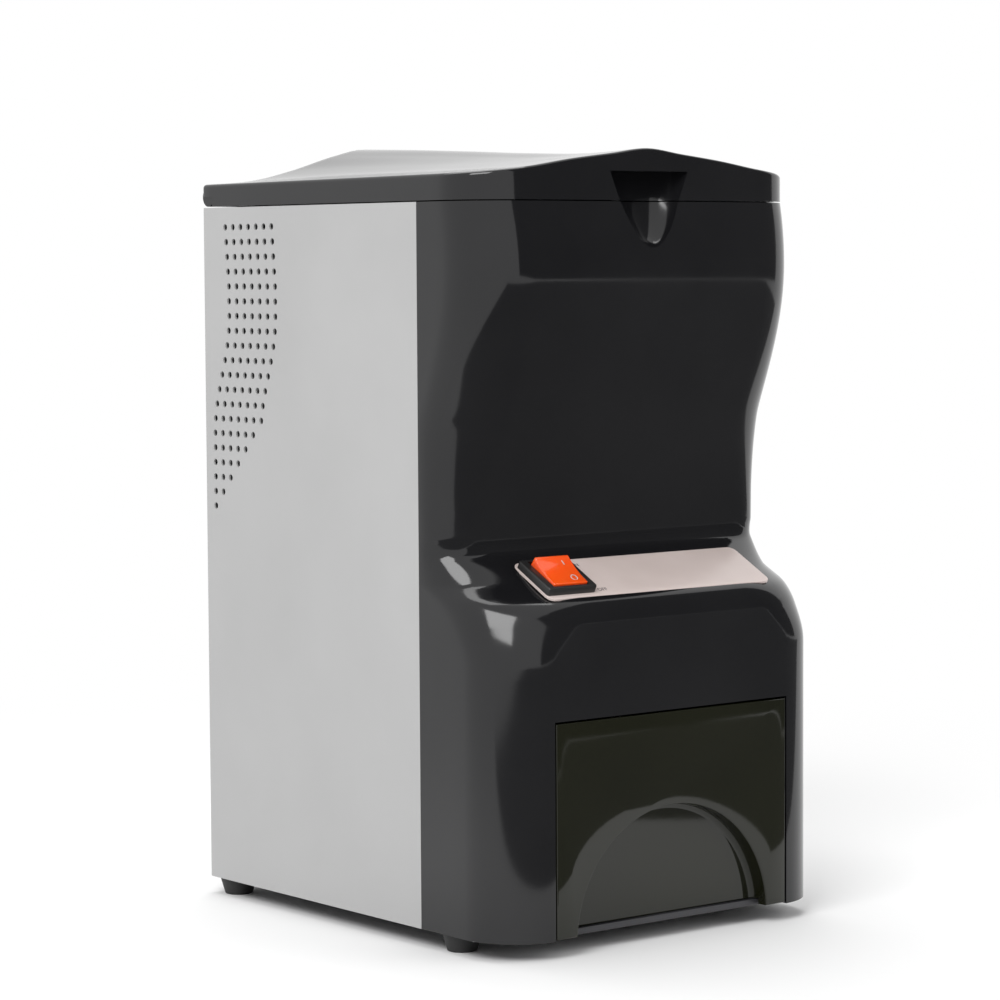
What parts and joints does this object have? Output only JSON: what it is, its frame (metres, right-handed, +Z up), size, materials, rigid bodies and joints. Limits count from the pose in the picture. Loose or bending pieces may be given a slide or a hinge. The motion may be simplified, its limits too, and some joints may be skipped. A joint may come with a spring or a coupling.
{
  "type": "electric ice crusher",
  "caption": "Counter-top electric ice crusher with a hinged lid over a hopper, a toothed rotor driven through a gear pair, a pull-out ice bin and a rocker switch on a sloped console.",
  "frame": {"origin": "on the resting surface, under the middle of the overall box", "axes": "+Z up, the front with the console and the bin faces -Y, +X is to the right seen from the front"},
  "size_m": [0.21, 0.2574, 0.3935],
  "materials": {
    "gloss_black": "moulded gloss black",
    "sheet_grey": "light grey satin paint",
    "steel": "folded zinc plated sheet",
    "screws": "zinc plated",
    "cast": "cast",
    "blade_steel": "ground stainless",
    "bronze": "sintered bronze",
    "white_plastic": "moulded",
    "grey_plastic": "moulded",
    "black_plastic": "moulded",
    "rubber": "moulded",
    "smoke": "smoked, translucent",
    "label": "bare printed plate",
    "orange": "translucent orange",
    "gear_steel": "cut teeth, oiled",
    "motor_paint": "enamelled",
    "magnet": "nickel plated"
  },
  "bodies": {
    "root": {"anvil_comb_left": "blade_steel", "anvil_comb_right": "blade_steel", "base_plate": "motor_paint", "bin_runners": "white_plastic", "bracket_screws": "screws", "capacitor_clip": "white_plastic", "casing_screws": "screws", "chassis": "steel", "chassis_screws": "screws", "cord_gland": "black_plastic", "cradle_screws": "screws", "crush_housing": "cast", "discharge_chute": "white_plastic", "feet": "rubber", "foot_nuts": "screws", "foot_screws": "screws", "front_bush": "bronze", "front_casing": "gloss_black", "gear_case": "cast", "gear_cover": "cast", "gearbox_screws": "screws", "gland_nut": "black_plastic", "hinge_brackets": "steel", "hinge_screws": "screws", "hopper": "black_plastic", "housing_brackets": "steel", "housing_screws": "screws", "label_plate": "label", "motor_body": "motor_paint", "motor_cradle": "steel", "motor_end_cap": "cast", "panel_screws": "screws", "rear_bush": "bronze", "reed_switch": "black_plastic", "run_capacitor": "white_plastic", "switch_body": "black_plastic", "terminal_block": "white_plastic", "wrap_panel": "sheet_grey"},
    "lid": {"lid": "gloss_black", "lid_magnet": "magnet", "hinge_pins": "blade_steel"},
    "bin": {"ice_bin": "smoke"},
    "rocker": {"switch_rocker": "orange"},
    "rotor": {"rotor_shaft": "blade_steel", "crusher_blades": "blade_steel", "blade_spacers": "blade_steel", "driven_gear": "gear_steel", "gear_collar": "gear_steel", "shaft_nut": "screws"},
    "armature": {"motor_shaft": "blade_steel", "motor_rotor": "steel", "drive_pinion": "gear_steel", "cooling_fan": "grey_plastic"}
  },
  "joints": [
    {"name": "lid_hinge", "type": "hinge", "parent": "root", "child": "lid", "pos_m": [0, 0.1197, 0.3669], "axis": [-1, 0, 0], "range_deg": [0, 90]},
    {"name": "bin_slide", "type": "slide", "parent": "root", "child": "bin", "axis": [0, -1, 0], "range_m": [0, 0.17]},
    {"name": "rocker_tilt", "type": "hinge", "parent": "root", "child": "rocker", "pos_m": [-0.056, -0.1066, 0.17977], "axis": [-1, 0, 0], "range_deg": [0, 22]},
    {"name": "rotor_spin", "type": "hinge", "parent": "root", "child": "rotor", "pos_m": [0, 0, 0.222], "axis": [0, 1, 0], "continuous": true},
    {"name": "armature_spin", "type": "hinge", "parent": "root", "child": "armature", "pos_m": [0, 0.06, 0.278], "axis": [0, 1, 0], "continuous": true}
  ],
  "couplings": [
    {"joint": "armature_spin", "follows": "rotor_spin", "ratio": -4}
  ]
}
